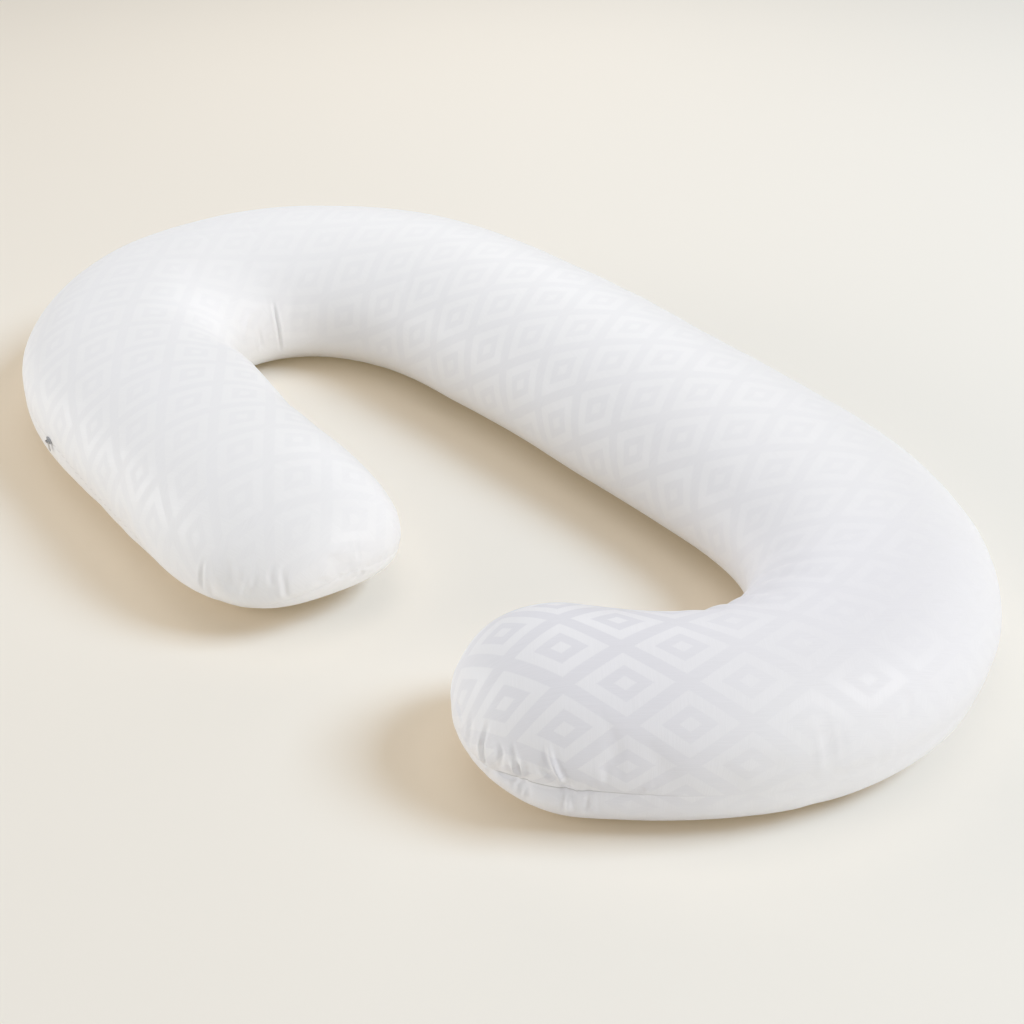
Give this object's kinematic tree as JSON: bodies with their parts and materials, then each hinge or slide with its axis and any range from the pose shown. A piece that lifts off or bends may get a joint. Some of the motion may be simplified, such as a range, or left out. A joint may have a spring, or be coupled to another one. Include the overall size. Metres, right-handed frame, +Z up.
{
  "type": "body pillow",
  "caption": "Long stuffed body pillow curled into a C, in a white jacquard cover with a zip slider in its side seam.",
  "frame": {"origin": "middle of the pillow's footprint on the surface that it lies on", "axes": "+X along the back towards the near bend, +Y from the open side towards the back, +Z up"},
  "size_m": [1.396, 0.7762, 0.1921],
  "materials": {
    "cover": "satin-ground jacquard in off-white on a faint lilac grey",
    "zip_metal": "dull zinc grey"
  },
  "bodies": {
    "root": {"pillow": "cover", "zip_slider": "zip_metal", "zip_pull": "zip_metal"}
  },
  "joints": []
}
